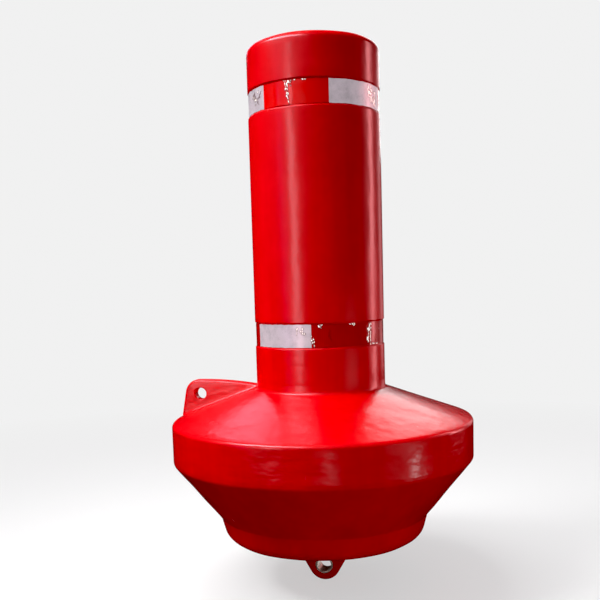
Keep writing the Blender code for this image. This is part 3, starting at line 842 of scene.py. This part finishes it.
# The photographer's floor: a plain pale sweep, not part of the buoy. It shows
# white to the camera, and throws little light back, so the float's underside stays deep.
floor_mesh = bpy.data.meshes.new("floor")
FLOOR_REACH = 30
floor_corners = [(-FLOOR_REACH, -FLOOR_REACH, 0), (FLOOR_REACH, -FLOOR_REACH, 0),
                 (FLOOR_REACH, FLOOR_REACH, 0), (-FLOOR_REACH, FLOOR_REACH, 0)]
floor_mesh.from_pydata(floor_corners, [], [(0, 1, 2, 3)])
floor_mesh.transform(Matrix.Translation((0, 0, BODY_LOW.z)))
floor = bpy.data.objects.new("floor", floor_mesh)
bpy.context.collection.objects.link(floor)
floor_material, floor_tree, floor_shader = new_material("floor white", (0.8, 0.8, 0.8), 0.9, specular=0)
rays = add_node(floor_tree, "ShaderNodeLightPath").outputs
seen = rays["Is Camera Ray"]
spot = add_node(floor_tree, "ShaderNodeTexCoord").outputs["Object"]
from_buoy = add_node(floor_tree, "ShaderNodeVectorMath", {0: spot}, operation="LENGTH").outputs["Value"]
far = remap(floor_tree, from_buoy, 0.5, 3.0)
near_tint = mix_colours(floor_tree, far, (0.36, 0.36, 0.36, 1), (0, 0, 0, 1))
unseen = mix_colours(floor_tree, rays["Is Glossy Ray"], (0.20, 0.18, 0.18, 1), (0.01, 0.01, 0.01, 1))
tint = mix_colours(floor_tree, seen, unseen, near_tint)
floor_tree.links.new(tint, floor_shader.inputs["Base Color"])
floor_shader.inputs["Emission Color"].default_value = (1, 1, 1, 1)
glow = combine_values(floor_tree, "MULTIPLY", seen, remap(floor_tree, far, 0, 1, 0.52, 0.88))
floor_tree.links.new(glow, floor_shader.inputs["Emission Strength"])
floor_mesh.materials.append(floor_material)


# Studio light. Soft boxes on the left, overhead and low on the right light the red
# itself. Windows and reflectors are seen only as reflections: pale streaks down the
# tower, over the deck and in the bush. The world is a dim even fill.
CAMERA_AZIMUTH = radians(12)


def place_light(name, azimuth, elevation, distance, size, power, tint=(1, 1, 1), aim_z=0.5,
                spread=180, lean=0, shows="both"):
    """Area light round the buoy, at angles from the camera's own azimuth, turned by its lean."""
    data = bpy.data.lights.new(name, "AREA")
    data.shape = "RECTANGLE"
    data.size, data.size_y = size
    data.energy = power
    data.color = tint
    data.spread = radians(spread)
    light = bpy.data.objects.new(name, data)
    turn = CAMERA_AZIMUTH + radians(azimuth)
    flat = cos(radians(elevation)) * distance
    place = Vector((sin(turn) * flat, -cos(turn) * flat, aim_z + sin(radians(elevation)) * distance))
    light.rotation_mode = "QUATERNION"
    level = (place - Vector((0, 0, aim_z))).to_track_quat("Z", "Y")
    light.rotation_quaternion = level @ Quaternion((0, 0, 1), radians(lean))
    light.location = place
    light.visible_camera = False
    light.visible_diffuse = shows != "gloss"
    light.visible_glossy = shows != "matt"
    bpy.context.collection.objects.link(light)


place_light("left soft box", -67, 49, 2.8, (1.1, 1.0), 9.8, aim_z=0.3, spread=60, shows="matt")
place_light("overhead soft box", -85, 72, 3.0, (1.6, 1.6), 78, shows="matt")
place_light("low right soft box", 55, 0, 2.2, (1.0, 0.5), 1.0, aim_z=0.22, spread=60, shows="matt")
place_light("high left window", -54, 50, 3.0, (2.6, 0.5), 150, (0.9, 0.85, 1), shows="gloss")
place_light("front window", -38.5, 9, 3.0, (0.42, 1.8), 27, (1, 0.72, 0.75), lean=9, shows="gloss")
place_light("far front window", -58, 9, 3.0, (0.3, 1.8), 3.4, (0.2, 0.15, 1), lean=14, shows="gloss")
place_light("side window", 108, 11, 3.0, (0.40, 2.1), 46, (1, 0.38, 0.40), shows="gloss")
place_light("back right window", 142, 10, 3.2, (0.8, 1.9), 8, (1, 0.5, 0.52), shows="gloss")
place_light("low right reflector", 60, -14, 1.2, (0.09, 0.12), 0.8, aim_z=0.33, shows="gloss")
place_light("low front reflector", 3, -12, 1.6, (0.2, 0.12), 0.6, aim_z=0.33, shows="gloss")
place_light("bush reflector", 156, -18, 0.10, (0.05, 0.04), 0.010, aim_z=0, shows="gloss")
place_light("far right window", 158, 32, 3.2, (0.6, 1.8), 14, shows="gloss")
place_light("far left window", -157, 42, 3.2, (0.4, 1.7), 7, (0.7, 0.75, 1), shows="gloss")

world = bpy.data.worlds.new("studio")
bpy.context.scene.world = world
world.use_nodes = True
backdrop = world.node_tree.nodes["Background"]
rays = add_node(world.node_tree, "ShaderNodeLightPath").outputs
fill = mix_colours(world.node_tree, rays["Is Glossy Ray"], (0.50, 0.48, 0.50, 1), (0.006, 0.007, 0.010, 1))
shown = mix_colours(world.node_tree, rays["Is Camera Ray"], fill, (0.88, 0.88, 0.88, 1))
world.node_tree.links.new(shown, backdrop.inputs["Color"])


# The camera, at the photograph's own angle: a little right of the lugs' normal,
# just above the deck, with the slight roll of the picture.
CAMERA_DISTANCE = 1.864
CAMERA_Z = DECK_Z + 0.2353
CAMERA_PITCH = 0.09832
CAMERA_YAW = 0.02587
CAMERA_ROLL = 0.02868
FOCAL_PIXELS = 797.6
OPTICAL_CENTRE_Y = 365
PICTURE_PIXELS = 600
SENSOR_WIDTH = 36
BLACK_LEVEL = 0.010

level_reach = cos(CAMERA_PITCH)
ahead = Vector((-sin(CAMERA_YAW) * level_reach, cos(CAMERA_YAW) * level_reach, -sin(CAMERA_PITCH)))
right = Vector((cos(CAMERA_YAW), sin(CAMERA_YAW), 0))
up = right.cross(ahead)
rolled_right = right * cos(CAMERA_ROLL) - up * sin(CAMERA_ROLL)
rolled_up = right * sin(CAMERA_ROLL) + up * cos(CAMERA_ROLL)
axes = Matrix((rolled_right, rolled_up, -ahead)).transposed()
camera_data = bpy.data.cameras.new("camera")
camera_data.sensor_width = SENSOR_WIDTH
camera_data.lens = SENSOR_WIDTH * FOCAL_PIXELS / PICTURE_PIXELS
camera_data.shift_y = (OPTICAL_CENTRE_Y - PICTURE_PIXELS / 2) / PICTURE_PIXELS
camera = bpy.data.objects.new("camera", camera_data)
turn = Matrix.Rotation(CAMERA_AZIMUTH, 4, "Z")
camera.matrix_world = turn @ Matrix.Translation((0, -CAMERA_DISTANCE, CAMERA_Z)) @ axes.to_4x4()
bpy.context.collection.objects.link(camera)
bpy.context.scene.camera = camera
view = bpy.context.scene.view_settings
view.view_transform = "Standard"
view.use_curve_mapping = True
view.curve_mapping.black_level = (BLACK_LEVEL, BLACK_LEVEL, BLACK_LEVEL)
view.curve_mapping.update()
